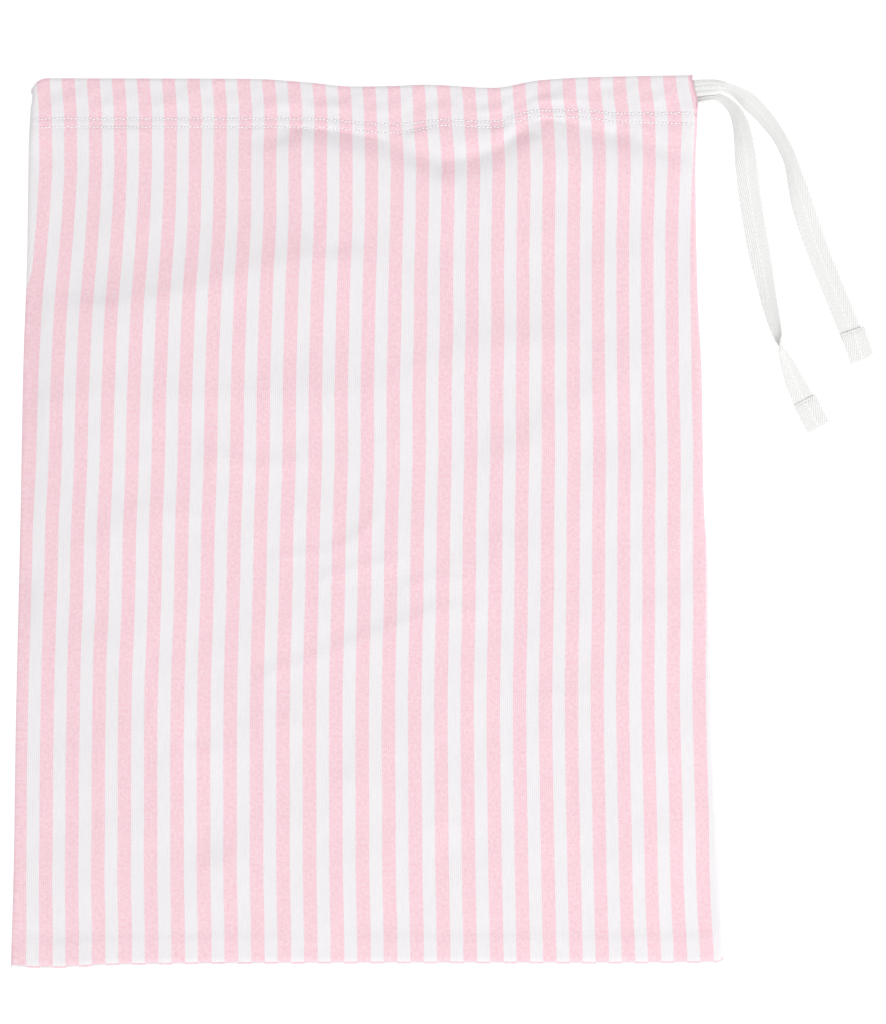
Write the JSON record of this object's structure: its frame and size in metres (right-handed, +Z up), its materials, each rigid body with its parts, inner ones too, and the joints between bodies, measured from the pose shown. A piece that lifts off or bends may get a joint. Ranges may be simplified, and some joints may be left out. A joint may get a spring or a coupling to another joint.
{
  "type": "laundry bag",
  "caption": "Flat rectangular cotton drawstring laundry bag with a hemmed casing at the mouth and a flat tape drawstring that leaves a slit at one end of the casing.",
  "frame": {"origin": "middle of the bag's underside, on the surface the bag lies on, without the free ends of the drawstring", "axes": "+Z up out of the surface the bag lies on, +Y from the bottom seam to the mouth, +X towards the side where the drawstring comes out"},
  "size_m": [0.4869, 0.5, 0.0113],
  "materials": {
    "striped_jersey": "soft brushed cotton jersey, lengthwise pale pink and white stripes",
    "twill_tape": "white cotton herringbone twill tape",
    "sewing_thread": "white polyester sewing thread"
  },
  "bodies": {
    "bag": {"back_panel": "striped_jersey", "front_panel": "striped_jersey", "back_hem": "striped_jersey", "front_hem": "striped_jersey", "left_seam_allowance": "striped_jersey", "right_seam_allowance": "striped_jersey", "bottom_seam_allowance": "striped_jersey", "left_seam_stitching": "sewing_thread", "right_seam_stitching": "sewing_thread", "bottom_seam_stitching": "sewing_thread", "front_hem_upper_stitches": "sewing_thread", "front_hem_lower_stitches": "sewing_thread", "back_hem_upper_stitches": "sewing_thread", "back_hem_lower_stitches": "sewing_thread", "slit_bar_tacks": "sewing_thread"},
    "drawstring": {"drawstring_in_casing": "twill_tape", "front_tail": "twill_tape", "back_tail": "twill_tape", "front_tail_tab": "twill_tape", "back_tail_tab": "twill_tape", "front_tail_stitches": "sewing_thread", "back_tail_stitches": "sewing_thread"}
  },
  "joints": [
    {"name": "drawstring_pull", "type": "slide", "parent": "bag", "child": "drawstring", "axis": [1, 0, 0], "range_m": [0, 0.18], "deforming": ["front_panel", "back_panel", "front_hem", "back_hem", "left_seam_allowance", "left_seam_stitching", "front_hem_upper_stitches", "front_hem_lower_stitches", "back_hem_upper_stitches", "back_hem_lower_stitches"]}
  ]
}
